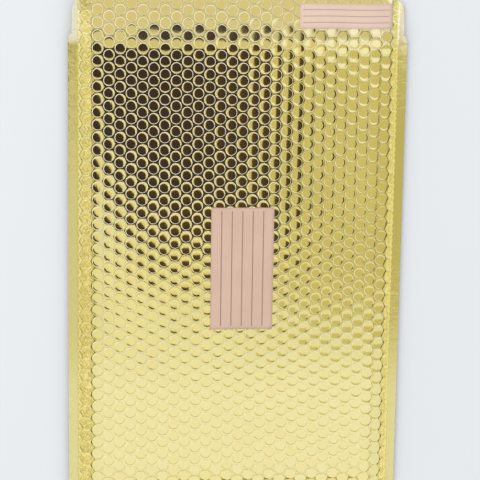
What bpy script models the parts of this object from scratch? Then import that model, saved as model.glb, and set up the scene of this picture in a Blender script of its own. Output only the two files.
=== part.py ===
"""A padded envelope: a pocket of bubble film with welded sides and an open flap, on its back.

X is the width, Y the length (flap towards +Y) and Z is up. The origin is in the middle of the
footprint, at the height of the surface that the envelope lies on. Sizes are in metres.

Every piece is a sheet between two height fields over a flat outline, so each surface below is
a function of x and y that gives a height.
"""

import math

import bpy
from mathutils import Vector
from mathutils.geometry import delaunay_2d_cdt

# Driving sizes of the cut web
PANEL_WIDTH = 0.320
PANEL_LENGTH = 0.440
FLAP_LENGTH = 0.043
FLAP_NECK_LENGTH = 0.005
FLAP_INSET = 0.003
FLAP_TAPER = 0.0015
FLAP_CORNER_RADIUS = 0.010
FOLD_CORNER_RADIUS = 0.004
BACK_TRIM = 0.0005

# Bubble film: a flat land with rows of raised bubbles, columns running along the length
LAND_THICKNESS = 0.0026
BUBBLE_RISE = 0.0009
BUBBLE_PITCH = 0.01184
COLUMN_SPACING = 0.01045
LATTICE_SHIFT_X = 0.0033
FIRST_ROW_FROM_MOUTH = 0.0099
BACK_THICKNESS = 0.0040
LINING_SLACK = 0.0003
SLACK_WAVE_X = 0.100
SLACK_WAVE_Y = 0.160

# Pocket and how its walls come together
POCKET_GAP = 0.0080
SEAL_WIDTH = 0.010
WELD_THICKNESS = 0.0016
WELD_GAP = 0.0003
WELD_HEIGHT = 0.0045
SHOULDER_WIDTH = 0.030
FOLD_SHOULDER = 0.038
FOLD_NOSE = 0.006
FOLD_RISE = 0.0034
FOLD_DROP = 0.0025

# Flap as it lies open
CREASE_DIP = 0.006
FLAP_DROOP = 0.0026
FLAP_SIDE_DROOP = 0.0022
CORNER_CURL = 0.0040
CORNER_CURL_REACH = 0.040

# Labels, glue and liner
LABEL_THICKNESS = 0.0004
LABEL_CLEARANCE = 0.0003
ADDRESS_LABEL_WIDTH = 0.060
ADDRESS_LABEL_LENGTH = 0.118
ADDRESS_LABEL_X = 0.0047
ADDRESS_LABEL_FROM_MOUTH = 0.2125
SENDER_LABEL_WIDTH = 0.0885
SENDER_LABEL_LENGTH = 0.0235
SENDER_LABEL_FROM_SIDE = 0.0160
SENDER_LABEL_FROM_EDGE = 0.0155
GLUE_WIDTH = 0.020
GLUE_THICKNESS = 0.0003
GLUE_SIDE_MARGIN = 0.010
GLUE_FROM_EDGE = 0.016
LINER_OVERHANG = 0.003
LINER_THICKNESS = 0.0003
STACK_CLEARANCE = 0.0003

# Steps of the plain surfaces and of the outlines
PLAIN_STEP = 0.024
SHOULDER_STEP = 0.0080
NOSE_STEPS = 3
CORNER_STEPS = 4
EDGE_MARGIN = 0.0030
PLAIN_MARGIN = 0.0010

# Places worked out from the sizes
TOTAL_LENGTH = PANEL_LENGTH + FLAP_LENGTH
FOLD_Y = -TOTAL_LENGTH / 2
MOUTH_Y = FOLD_Y + PANEL_LENGTH
FLAP_EDGE_Y = TOTAL_LENGTH / 2
HALF_WIDTH = PANEL_WIDTH / 2
SEAL_X = HALF_WIDTH - SEAL_WIDTH
LATTICE_EDGE = COLUMN_SPACING * 2 / 3
PLATEAU_UP = BACK_THICKNESS + POCKET_GAP + LAND_THICKNESS - WELD_HEIGHT
PLATEAU_DOWN = WELD_HEIGHT
HALF_WELD = WELD_THICKNESS / 2
WELDED_SHEET = HALF_WELD - WELD_GAP / 2


def ramp(value):
    """Smooth step from 0 at 0 to 1 at 1, level at both ends."""
    t = min(max(value, 0.0), 1.0)
    return t * t * (3.0 - 2.0 * t)


def nose(value):
    """Quarter circle from 0 at 0 to 1 at 1, steep first and level at its end."""
    t = min(max(value, 0.0), 1.0)
    return math.sqrt(1.0 - (1.0 - t) ** 2)


def across(x):
    """How far the panel stands off the side welds: 0 on a weld, steep first, 1 past the shoulder."""
    t = min(max((SEAL_X - abs(x)) / SHOULDER_WIDTH, 0.0), 1.0)
    return t * (2.0 - t)


def wall_fullness(x, y):
    """How much of its full thickness a sheet has: 0 where it is welded flat or folded."""
    return across(x) * nose((y - FOLD_Y) / FOLD_NOSE)


def standoff(x, y, fold_height, plateau_height):
    """Height of an outer face off the weld plane: a nose at the fold, then the shoulder."""
    at_fold = fold_height * nose((y - FOLD_Y) / FOLD_NOSE)
    past_fold = (plateau_height - HALF_WELD - fold_height) * ramp((y - FOLD_Y) / FOLD_SHOULDER)
    return HALF_WELD + across(x) * (at_fold + past_fold)


def crease_y(x):
    """Line where the flap starts to fall away: at the mouth on the welds, lower in the middle."""
    return MOUTH_Y - CREASE_DIP * (1.0 - min(abs(x) / HALF_WIDTH, 1.0) ** 4)


def flap_land(x, y):
    """Outer land of the flap: the mouth's arch flattens out and falls towards the free edge."""
    start = crease_y(x)
    t = min(max((y - start) / (FLAP_EDGE_Y - start), 0.0), 1.0)
    mouth_height = WELD_HEIGHT + standoff(x, MOUTH_Y, FOLD_RISE, PLATEAU_UP)
    free_height = WELD_HEIGHT + PLATEAU_UP - FLAP_DROOP - FLAP_SIDE_DROOP * (x / HALF_WIDTH) ** 2
    from_corner = math.hypot(HALF_WIDTH - x, FLAP_EDGE_Y - y)
    curl = CORNER_CURL * ramp(1.0 - from_corner / CORNER_CURL_REACH)
    return mouth_height + (free_height - mouth_height) * t ** 1.5 - curl


def front_land(x, y):
    """Outer land between the bubbles, on the front panel and on the flap."""
    if y > crease_y(x):
        return flap_land(x, y)
    return WELD_HEIGHT + standoff(x, y, FOLD_RISE, PLATEAU_UP)


def front_bubble_top(x, y):
    """Envelope over the bubble tops, which are pressed flat on the welds and at the fold."""
    return front_land(x, y) + BUBBLE_RISE * bubble_fullness(x, y)


def bubble_fullness(x, y):
    """Share of its full rise that a bubble keeps: crushed beside a weld, whole on the flap."""
    beside_weld = ramp((SEAL_X - abs(x)) / COLUMN_SPACING)
    on_flap = ramp((y - MOUTH_Y) / BUBBLE_PITCH)
    return max(beside_weld, on_flap) * nose((y - FOLD_Y) / BUBBLE_PITCH)


def front_inner(x, y):
    """Inner face of the front panel and of the flap, slack in long shallow waves."""
    waves = math.cos(math.tau * x / SLACK_WAVE_X) * math.cos(math.tau * y / SLACK_WAVE_Y)
    in_pocket = WELDED_SHEET + (LAND_THICKNESS - WELDED_SHEET) * wall_fullness(x, y)
    in_pocket += LINING_SLACK * waves * across(x) * ramp((y - FOLD_Y) / FOLD_SHOULDER)
    on_flap = ramp((y - MOUTH_Y) / BUBBLE_PITCH)
    return front_land(x, y) - in_pocket - (LAND_THICKNESS - in_pocket) * on_flap


def back_outer(x, y):
    """Outer face of the back panel, level where the envelope rests on it."""
    return WELD_HEIGHT - standoff(x, y, FOLD_DROP, PLATEAU_DOWN)


def back_inner(x, y):
    """Inner face of the back panel."""
    sheet = WELDED_SHEET + (BACK_THICKNESS - WELDED_SHEET) * wall_fullness(x, y)
    return back_outer(x, y) + sheet


def raised(height, offset):
    """The same surface, moved up by an offset."""
    return lambda x, y: height(x, y) + offset


def stations(low, high, longest_step):
    """Evenly spaced values from low to high, no further apart than the longest step."""
    count = max(1, math.ceil((high - low) / longest_step - 1e-9))
    return [low + (high - low) * i / count for i in range(count + 1)]


def arc(centre_x, centre_y, radius, start, end):
    """Points along a corner's quarter circle, angles in degrees."""
    points = []
    for i in range(CORNER_STEPS + 1):
        angle = math.radians(start + (end - start) * i / CORNER_STEPS)
        points.append((centre_x + radius * math.cos(angle), centre_y + radius * math.sin(angle)))
    return points


def divided(corners, longest_step):
    """The closed outline through the corners, with no side longer than the step."""
    points = []
    for i, (x0, y0) in enumerate(corners):
        x1, y1 = corners[(i + 1) % len(corners)]
        count = max(1, math.ceil(math.hypot(x1 - x0, y1 - y0) / longest_step - 1e-9))
        points += [(x0 + (x1 - x0) * k / count, y0 + (y1 - y0) * k / count) for k in range(count)]
    return points


def rectangle(centre_x, centre_y, width, length):
    """Corners of a rectangle, anticlockwise."""
    x0, x1 = centre_x - width / 2, centre_x + width / 2
    y0, y1 = centre_y - length / 2, centre_y + length / 2
    return [(x0, y0), (x1, y0), (x1, y1), (x0, y1)]


def panel_outline(trim, with_flap):
    """Outline of a panel: round corners at the fold, then the flap or a mouth edge that arches."""
    half = HALF_WIDTH - trim
    low = FOLD_Y + trim
    radius = FOLD_CORNER_RADIUS
    corners = arc(-half + radius, low + radius, radius, 180, 270)
    corners += arc(half - radius, low + radius, radius, 270, 360)
    corners.append((half, MOUTH_Y))
    if with_flap:
        mouth_half = half - FLAP_INSET
        free_half = mouth_half - FLAP_TAPER
        bend = FLAP_CORNER_RADIUS
        neck_y = MOUTH_Y + FLAP_NECK_LENGTH
        corners.append((half, neck_y))
        corners.append((mouth_half, neck_y + FLAP_NECK_LENGTH))
        corners += arc(free_half - bend, FLAP_EDGE_Y - bend, bend, 0, 90)
        corners += arc(-free_half + bend, FLAP_EDGE_Y - bend, bend, 90, 180)
        corners.append((-mouth_half, neck_y + FLAP_NECK_LENGTH))
        corners.append((-half, neck_y))
    else:
        crossed = [x for x in plain_columns(PLAIN_STEP / 2) if abs(x) < half - PLAIN_MARGIN]
        corners += [(x, MOUTH_Y) for x in reversed(crossed)]
    corners.append((-half, MOUTH_Y))
    return divided(corners, PLAIN_STEP)


def inside(outline, x, y, margin):
    """Whether a point lies inside an outline, at least a margin away from its edge."""
    within = False
    for i, (x0, y0) in enumerate(outline):
        x1, y1 = outline[(i + 1) % len(outline)]
        if (y0 > y) != (y1 > y) and x < x0 + (y - y0) * (x1 - x0) / (y1 - y0):
            within = not within
        length = math.hypot(x1 - x0, y1 - y0)
        along = ((x - x0) * (x1 - x0) + (y - y0) * (y1 - y0)) / length ** 2
        along = min(max(along, 0.0), 1.0)
        if math.hypot(x - x0 - along * (x1 - x0), y - y0 - along * (y1 - y0)) < margin:
            return False
    return within


def bubble_lattice(outline):
    """Bubble centres and the six land corners round each, as (x, y, is_centre).

    Together they are a triangular lattice, in rows along X, where every third point of a row
    is a bubble's centre. Each bubble is then six triangles that rise from the land.
    Neighbouring columns are half a pitch apart along the length.
    """
    row_step = BUBBLE_PITCH / 2
    rows = math.ceil(TOTAL_LENGTH / row_step)
    columns = math.ceil(PANEL_WIDTH / LATTICE_EDGE)
    points = []
    for j in range(-rows, rows + 1):
        y = MOUTH_Y - FIRST_ROW_FROM_MOUTH + j * row_step
        for i in range(-columns, columns + 1):
            x = LATTICE_SHIFT_X + (i + 0.5 * (j % 2)) * LATTICE_EDGE
            is_centre = (i - (j % 2)) % 3 == 0
            if inside(outline, x, y, EDGE_MARGIN):
                points.append((x, y, is_centre))
    return points


def plain_columns(step):
    """Columns of a plain surface, close together over the shoulders and a step apart between."""
    inner_x = SEAL_X - SHOULDER_WIDTH
    half_columns = stations(0.0, inner_x, step) + stations(inner_x, SEAL_X, SHOULDER_STEP)[1:]
    return sorted({-x for x in half_columns} | set(half_columns))


def plain_grid(outline):
    """Points of a plain surface: far apart on the level panel, closer elsewhere."""
    rows = stations(FOLD_Y, FOLD_Y + FOLD_NOSE, FOLD_NOSE / NOSE_STEPS)
    rows += stations(FOLD_Y + FOLD_NOSE, FOLD_Y + FOLD_SHOULDER, SHOULDER_STEP)[1:]
    rows += stations(FOLD_Y + FOLD_SHOULDER, MOUTH_Y - CREASE_DIP, 2 * PLAIN_STEP)[1:]
    flap_rows = stations(MOUTH_Y - CREASE_DIP, FLAP_EDGE_Y, SHOULDER_STEP)[1:]
    points = [(x, y) for y in rows for x in plain_columns(PLAIN_STEP)]
    points += [(x, y) for y in flap_rows for x in plain_columns(PLAIN_STEP / 2)]
    return [(x, y) for x, y in points if inside(outline, x, y, PLAIN_MARGIN)]


def strip_outline(centre_x, centre_y, width, length):
    """Outline of a rectangle on the flap, with a point at every plain column it crosses."""
    (x0, y0), _, (x1, y1), _ = rectangle(centre_x, centre_y, width, length)
    crossed = [x for x in plain_columns(PLAIN_STEP / 2) if x0 + PLAIN_MARGIN < x < x1 - PLAIN_MARGIN]
    across_strip = [x0] + crossed + [x1]
    corners = [(x, y0) for x in across_strip] + [(x, y1) for x in reversed(across_strip)]
    return divided(corners, PLAIN_STEP / 2)


def surface(outline, points):
    """Triangles over an outline and its inner points, outline first, facing up."""
    flat = [Vector(point[:2]) for point in outline + points]
    ring = list(range(len(outline)))
    edges = [(i, (i + 1) % len(ring)) for i in ring]
    found = delaunay_2d_cdt(flat, edges, [ring], 1, 1e-7)
    faces = []
    for a, b, c in found[2]:
        p, q, r = found[0][a], found[0][b], found[0][c]
        turn = (q.x - p.x) * (r.y - p.y) - (q.y - p.y) * (r.x - p.x)
        faces.append((a, b, c) if turn > 0 else (a, c, b))
    return [tuple(point) for point in found[0]], faces


def sheet(name, outline, top_points, top, bottom_points, bottom, material):
    """A closed sheet between a top and a bottom height field over one outline."""
    flat_top, top_faces = surface(outline, top_points)
    flat_bottom, bottom_faces = surface(outline, bottom_points)
    offset = len(flat_top)
    vertices = [(x, y, top(x, y)) for x, y in flat_top]
    vertices += [(x, y, bottom(x, y)) for x, y in flat_bottom]
    faces = top_faces + [tuple(offset + i for i in reversed(face)) for face in bottom_faces]
    ring = len(outline)
    for i in range(ring):
        j = (i + 1) % ring
        faces.append((i, offset + i, offset + j, j))
    mesh = bpy.data.meshes.new(name)
    mesh.from_pydata(vertices, [], faces)
    mesh.update()
    mesh.materials.append(material)
    bpy.context.collection.objects.link(bpy.data.objects.new(name, mesh))


def finish(name, colour, roughness, metallic):
    """A plain surface material."""
    material = bpy.data.materials.new(name)
    material.use_nodes = True
    shader = material.node_tree.nodes["Principled BSDF"]
    shader.inputs["Base Color"].default_value = (*colour, 1.0)
    shader.inputs["Roughness"].default_value = roughness
    shader.inputs["Metallic"].default_value = metallic
    return material


def build_panels():
    """The front panel with its flap, and the back panel that it is welded to at the sides."""
    film = finish("gold_film", (0.72, 0.60, 0.22), 0.25, 0.9)
    front_outline = panel_outline(0.0, with_flap=True)
    lattice = bubble_lattice(front_outline)
    centres = {(round(x, 5), round(y, 5)) for x, y, is_centre in lattice if is_centre}

    def front_outer(x, y):
        is_centre = (round(x, 5), round(y, 5)) in centres
        return front_bubble_top(x, y) if is_centre else front_land(x, y)

    sheet("front_panel", front_outline, lattice, front_outer,
          plain_grid(front_outline), front_inner, film)
    back_outline = panel_outline(BACK_TRIM, with_flap=False)
    back_points = plain_grid(back_outline)
    sheet("back_panel", back_outline, back_points, back_inner, back_points, back_outer, film)


def build_label(name, centre_x, centre_y, width, length):
    """A label stuck on the bubble tops, following the film under it."""
    paper = finish(name + "_paper", (0.71, 0.50, 0.38), 0.6, 0.0)
    outline = divided(rectangle(centre_x, centre_y, width, length), PLAIN_STEP / 2)
    points = plain_grid(outline)
    under = raised(front_bubble_top, LABEL_CLEARANCE)
    sheet(name, outline, points, raised(under, LABEL_THICKNESS), points, under, paper)


def build_closure():
    """The glue strip under the flap and the liner that covers it."""
    glue = finish("clear_glue", (0.80, 0.78, 0.70), 0.2, 0.0)
    liner_film = finish("white_liner", (0.86, 0.86, 0.84), 0.45, 0.0)
    width = PANEL_WIDTH - 2 * (FLAP_INSET + FLAP_TAPER + GLUE_SIDE_MARGIN)
    centre_y = FLAP_EDGE_Y - GLUE_FROM_EDGE
    outline = strip_outline(0.0, centre_y, width, GLUE_WIDTH)
    points = plain_grid(outline)
    glue_top = raised(front_inner, -STACK_CLEARANCE)
    glue_bottom = raised(glue_top, -GLUE_THICKNESS)
    sheet("adhesive_strip", outline, points, glue_top, points, glue_bottom, glue)
    cover_outline = strip_outline(0.0, centre_y, width + 2 * LINER_OVERHANG,
                                  GLUE_WIDTH + 2 * LINER_OVERHANG)
    points = plain_grid(cover_outline)
    liner_top = raised(glue_bottom, -STACK_CLEARANCE)
    liner_bottom = raised(liner_top, -LINER_THICKNESS)
    sheet("release_liner", cover_outline, points, liner_top, points, liner_bottom, liner_film)


def main():
    """Clear the scene and build every piece."""
    for thing in list(bpy.data.objects):
        bpy.data.objects.remove(thing, do_unlink=True)
    build_panels()
    build_label("address_label", ADDRESS_LABEL_X, MOUTH_Y - ADDRESS_LABEL_FROM_MOUTH,
                ADDRESS_LABEL_WIDTH, ADDRESS_LABEL_LENGTH)
    sender_label_x = HALF_WIDTH - SENDER_LABEL_FROM_SIDE - SENDER_LABEL_WIDTH / 2
    build_label("sender_label", sender_label_x, FLAP_EDGE_Y - SENDER_LABEL_FROM_EDGE,
                SENDER_LABEL_WIDTH, SENDER_LABEL_LENGTH)
    build_closure()


main()
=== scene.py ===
"""Visual model of a padded envelope, lying on its back with its flap open.

The film is built bubble by bubble: every bubble is a shallow dish inside a raised ring, and its
land is a hexagon shared with its neighbours. All sizes are in metres, in the frame of the model.
"""

import logging
import math
from collections.abc import Callable
from dataclasses import dataclass
from enum import Enum

import bpy
import numpy as np
from mathutils import Euler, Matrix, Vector
from mathutils.geometry import delaunay_2d_cdt

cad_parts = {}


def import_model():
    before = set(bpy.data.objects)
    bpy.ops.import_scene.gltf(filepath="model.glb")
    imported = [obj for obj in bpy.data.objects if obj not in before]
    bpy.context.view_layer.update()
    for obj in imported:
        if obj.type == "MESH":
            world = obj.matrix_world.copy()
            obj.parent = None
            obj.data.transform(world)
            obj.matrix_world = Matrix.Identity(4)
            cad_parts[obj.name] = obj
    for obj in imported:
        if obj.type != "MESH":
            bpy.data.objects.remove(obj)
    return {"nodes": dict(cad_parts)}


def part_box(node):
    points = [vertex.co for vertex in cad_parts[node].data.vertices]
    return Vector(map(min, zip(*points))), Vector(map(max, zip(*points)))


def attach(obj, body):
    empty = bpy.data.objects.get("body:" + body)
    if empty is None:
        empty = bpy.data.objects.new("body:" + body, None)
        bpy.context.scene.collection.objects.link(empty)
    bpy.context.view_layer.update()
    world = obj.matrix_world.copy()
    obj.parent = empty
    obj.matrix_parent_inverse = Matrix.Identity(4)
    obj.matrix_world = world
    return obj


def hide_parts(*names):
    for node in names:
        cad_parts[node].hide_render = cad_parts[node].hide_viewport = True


LOG = logging.getLogger("padded_envelope")
MILLIMETRE = 0.001
FIRST_ROW_FROM_MOUTH = 0.0099
LATTICE_SHIFT_X = 0.0033

Array = np.ndarray
Colour = tuple[float, float, float]
Place = tuple[float, float]
Span = tuple[float, float]
Surface = Callable[[Array, Array], Array]


def smooth(value: Array) -> Array:
    """Smooth step from 0 at 0 to 1 at 1, level at both ends: three squares less two cubes.

    Args:
        value: number or array, cut to 0..1 first.
    Returns:
        The step's height, in the same shape as the value.
    """
    t = np.clip(value, 0.0, 1.0)
    return t * t * (3.0 - 2.0 * t)


def quarter_round(value: Array) -> Array:
    """Quarter circle from 0 at 0 to 1 at 1, steep first and level at its end.

    Args:
        value: number or array, cut to 0..1 first.
    Returns:
        The circle's height, in the same shape as the value.
    """
    t = np.clip(value, 0.0, 1.0)
    return np.sqrt(1.0 - (1.0 - t) ** 2)


def shaded(colour: Colour, share: float) -> Colour:
    """A colour with each part scaled by a share."""
    return tuple(part * share for part in colour)


class Side(Enum):
    """Which way the outer film of a panel faces."""

    FRONT = 1.0
    BACK = -1.0


@dataclass(frozen=True)
class PocketForm:
    """Height fields of the envelope's sheets, the same as the model's solids.

    The panels are welded flat along both sides and folded at the lower end, and bulge between.
    """

    width: float
    length: float
    flap: float
    neck: float = 0.005
    flap_inset: float = 0.003
    flap_taper: float = 0.0015
    flap_radius: float = 0.010
    fold_radius: float = 0.004
    seal: float = 0.010
    half_weld: float = 0.0008
    weld_height: float = 0.0045
    shoulder: float = 0.030
    fold_shoulder: float = 0.038
    fold_nose: float = 0.006
    fold_rise: float = 0.0034
    fold_drop: float = 0.0025
    land: float = 0.0026
    bubble_rise: float = 0.0009
    back_sheet: float = 0.0040
    gap: float = 0.0080
    crease_dip: float = 0.006
    crease_power: int = 4
    flap_droop: float = 0.0026
    flap_side_droop: float = 0.0022
    flap_power: float = 1.5
    corner_curl: float = 0.0040
    curl_reach: float = 0.040
    pitch: float = 0.01184
    column: float = 0.01045

    @property
    def half_width(self) -> float:
        """Half the width of the whole envelope."""
        return self.width / 2

    @property
    def seal_x(self) -> float:
        """Distance of the side welds' inner edge from the middle."""
        return self.half_width - self.seal

    @property
    def edge_y(self) -> float:
        """Free edge of the flap."""
        return self.length / 2

    @property
    def fold_y(self) -> float:
        """Folded end of the pocket."""
        return -self.length / 2

    @property
    def mouth_y(self) -> float:
        """Mouth of the pocket, where the back panel ends."""
        return self.edge_y - self.flap

    @property
    def plateau(self) -> float:
        """Height of the front land over the weld plane, past the shoulders."""
        return self.back_sheet + self.gap + self.land - self.weld_height

    def across(self, x: Array) -> Array:
        """How far a panel stands off the side welds, 0 on a weld and 1 past its shoulder."""
        t = np.clip((self.seal_x - np.abs(x)) / self.shoulder, 0.0, 1.0)
        return t * (2.0 - t)

    def standoff(self, x: Array, y: Array, fold_height: float, plateau_height: float) -> Array:
        """Height of an outer face off the weld plane: a nose at the fold, then the shoulder.

        Args:
            x: places across the width.
            y: places along the length.
            fold_height: height of the nose at the fold.
            plateau_height: height past the shoulders.
        Returns:
            Half a weld, and more by the product of the rise across and the rise along.
        """
        past = y - self.fold_y
        at_fold = fold_height * quarter_round(past / self.fold_nose)
        rest = plateau_height - self.half_weld - fold_height
        along = at_fold + rest * smooth(past / self.fold_shoulder)
        return self.half_weld + self.across(x) * along

    def crease(self, x: Array) -> Array:
        """Where the flap starts to fall away: at the mouth on the welds, lower in the middle."""
        share = np.minimum(np.abs(x) / self.half_width, 1.0)
        return self.mouth_y - self.crease_dip * (1.0 - share ** self.crease_power)

    def front_land(self, x: Array, y: Array) -> Array:
        """Outer land between the bubbles, on the front panel and on the flap.

        Args:
            x: places across the width.
            y: places along the length.
        Returns:
            The panel's height, which past the crease runs over to the flap's own height; that
            falls with the square of x, and the flap's corner curls down.
        """
        panel = self.weld_height + self.standoff(x, y, self.fold_rise, self.plateau)
        start = self.crease(x)
        t = np.clip((y - start) / (self.edge_y - start), 0.0, 1.0)
        side = self.flap_side_droop * (x / self.half_width) ** 2
        free = self.weld_height + self.plateau - self.flap_droop - side
        from_corner = np.hypot(self.half_width - x, self.edge_y - y)
        curl = self.corner_curl * smooth(1.0 - from_corner / self.curl_reach)
        return panel + (free - panel) * t ** self.flap_power - curl

    def fullness(self, x: Array, y: Array) -> Array:
        """Share of its full rise that a bubble keeps: crushed beside a weld or the fold.

        Args:
            x: places across the width.
            y: places along the length.
        Returns:
            Shares from 0 to 1.
        """
        beside = smooth((self.seal_x - np.abs(x)) / self.column)
        on_flap = smooth((y - self.mouth_y) / self.pitch)
        return np.maximum(beside, on_flap) * quarter_round((y - self.fold_y) / self.pitch)

    def front_top(self, x: Array, y: Array) -> Array:
        """Surface that the tops of the front bubbles touch."""
        return self.front_land(x, y) + self.bubble_rise * self.fullness(x, y)

    def back_top(self, x: Array, y: Array) -> Array:
        """Surface that the tops of the back bubbles touch, level where the envelope rests."""
        return self.weld_height - self.standoff(x, y, self.fold_drop, self.weld_height)

    def flap_share(self, y: Array) -> Array:
        """0 on the pocket and 1 at the flap's free edge."""
        return np.clip((y - self.mouth_y) / self.flap, 0.0, 1.0)

    def half_span(self, y: Array, with_flap: bool) -> Array:
        """Half the width of a panel's outline at places along it.

        Args:
            y: places along the length.
            with_flap: whether the outline goes on past the mouth.
        Returns:
            Half widths, round at the fold's corners and at the flap's by the circle's formula.
        """
        low = self.fold_radius - np.clip(y - self.fold_y, 0.0, self.fold_radius)
        half = self.half_width - self.fold_radius + np.sqrt(self.fold_radius ** 2 - low ** 2)
        if not with_flap:
            return half
        past = y - self.mouth_y
        shrink = self.flap_inset * np.clip((past - self.neck) / self.neck, 0.0, 1.0)
        shrink = shrink + self.flap_taper * np.clip(past / self.flap, 0.0, 1.0)
        bend = self.flap_radius
        high = bend - np.clip(self.edge_y - y, 0.0, bend)
        return half - shrink - bend + np.sqrt(bend ** 2 - high ** 2)


@dataclass(frozen=True)
class BubbleProfile:
    """Cross-section of one bubble, as rings from the middle of the dish to the land.

    The rings are the middle, one in the dish, the lip, one on the rim's flank, and the foot.
    """

    ring_radius: float = 0.0047
    foot_radius: float = 0.00545
    dish_slope: float = 0.039
    lip_slope: float = 0.100
    rim_slope: float = 1.0
    foot_slope: float = 0.05
    full_rise: float = 0.0012
    dish_ring_share: float = 0.66
    flank_drop_share: float = 0.45
    segments: int = 12
    level_rings: int = 2

    def radii(self) -> Array:
        """Radius of each inner ring, from the middle outwards."""
        flank = (self.ring_radius + self.foot_radius) / 2
        dish = self.dish_ring_share * self.ring_radius
        return np.array([0.0, dish, self.ring_radius, flank, self.foot_radius])

    def softness(self, rise: Array) -> Array:
        """How fully each bubble's form is pressed, as one column."""
        return np.minimum(rise / self.full_rise, 1.0)[:, None]

    def drops(self, rise: Array) -> Array:
        """Depth of each ring below the bubble's top: a parabola in the dish, then the flank.

        Args:
            rise: rise of each bubble over its land.
        Returns:
            Array of shape (bubbles, rings + 1); the last column is the land.
        """
        share = self.radii() / self.ring_radius
        dish = self.dish_slope * self.ring_radius / 2 * (1.0 - np.minimum(share, 1.0) ** 2)
        rim = np.array([0.0, 0.0, 0.0, self.flank_drop_share, 1.0])
        inner = dish * self.softness(rise) + rim * rise[:, None]
        return np.hstack([inner, rise[:, None]])

    def slopes(self, rise: Array) -> Array:
        """Radial slope of each ring, positive outwards and upwards.

        Args:
            rise: rise of each bubble over its land.
        Returns:
            Array of shape (bubbles, rings + 1).
        """
        share = self.radii() / self.ring_radius
        dish = np.where(share < 1.0, self.dish_slope * share, 0.0)
        dish = dish + self.lip_slope * (share == 1.0)
        rim = np.array([0.0, 0.0, 0.0, -self.rim_slope, self.foot_slope])
        return np.hstack([(dish + rim) * self.softness(rise), np.zeros((len(rise), 1))])


@dataclass(frozen=True)
class BubbleLattice:
    """Columns of bubbles along the length, neighbours half a pitch apart.

    Places are counted in whole lattice steps, so that neighbouring cells share exact corners.
    """

    pitch: float
    column: float
    shift_x: float
    shift_y: float
    steps_across: int = 6
    steps_along: int = 4

    @property
    def step_x(self) -> float:
        """A sixth of the distance between columns."""
        return self.column / self.steps_across

    @property
    def step_y(self) -> float:
        """A quarter of the pitch."""
        return self.pitch / self.steps_along

    def centres(self, half_width: float, low: float, high: float) -> Array:
        """Whole-number places of every bubble that may touch the panel.

        Args:
            half_width: half the panel's width.
            low: lower end of the panel.
            high: upper end of the panel.
        Returns:
            Integer array of shape (bubbles, 2).
        """
        columns = math.ceil((half_width + self.column) / self.column) + 1
        first = math.floor((low - self.shift_y) / self.pitch) - 1
        last = math.ceil((high - self.shift_y) / self.pitch) + 1
        column, row = np.meshgrid(np.arange(-columns, columns + 1), np.arange(first, last + 1))
        along = row * self.steps_along + self.steps_along // 2 * (column % 2)
        return np.stack([(column * self.steps_across).ravel(), along.ravel()], axis=1)

    def column_numbers(self, steps: Array) -> Array:
        """Number of the column that each whole-number place is in, from 0."""
        return steps[:, 0] // self.steps_across - steps[:, 0].min() // self.steps_across

    def place(self, steps: Array) -> Array:
        """Positions in metres of whole-number places."""
        return steps * (self.step_x, self.step_y) + (self.shift_x, self.shift_y)

    def border(self) -> Array:
        """Twelve whole-number points round a cell: its six corners and the points between."""
        return np.array([(4, 0), (3, 1), (2, 2), (0, 2), (-2, 2), (-3, 1),
                         (-4, 0), (-3, -1), (-2, -2), (0, -2), (2, -2), (3, -1)])


@dataclass(frozen=True)
class ClosingStripLean:
    """Lean of the bubbles over the closing strip's stiff lower edge.

    Those below the edge lean towards the free edge, and those on it lean back. The places are
    in millimetres past the mouth, and each share is of the full lean.
    """

    full: float = 0.108
    past_mouth: tuple[float, ...] = (-6.0, -5.0, -2.5, 0.5, 4.5, 6.5, 9.5, 12.5, 15.0, 18.5, 22.0)
    shares: tuple[float, ...] = (0.0, -0.2, -0.2, 0.0, 0.0, 1.0, 1.0, 0.78, 0.78, 0.28, 0.0)
    starts_x: float = -0.115
    grows_over: float = 0.03

    def slope(self, x: Array, past: Array) -> Array:
        """Slope along the length, straight between the places and smooth in from the left.

        Args:
            x: bubble middles across the width.
            past: bubble middles past the mouth.
        Returns:
            Slopes, 0 away from the strip's edge.
        """
        share = np.interp(past / MILLIMETRE, self.past_mouth, self.shares)
        return self.full * share * smooth((x - self.starts_x) / self.grows_over)


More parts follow.
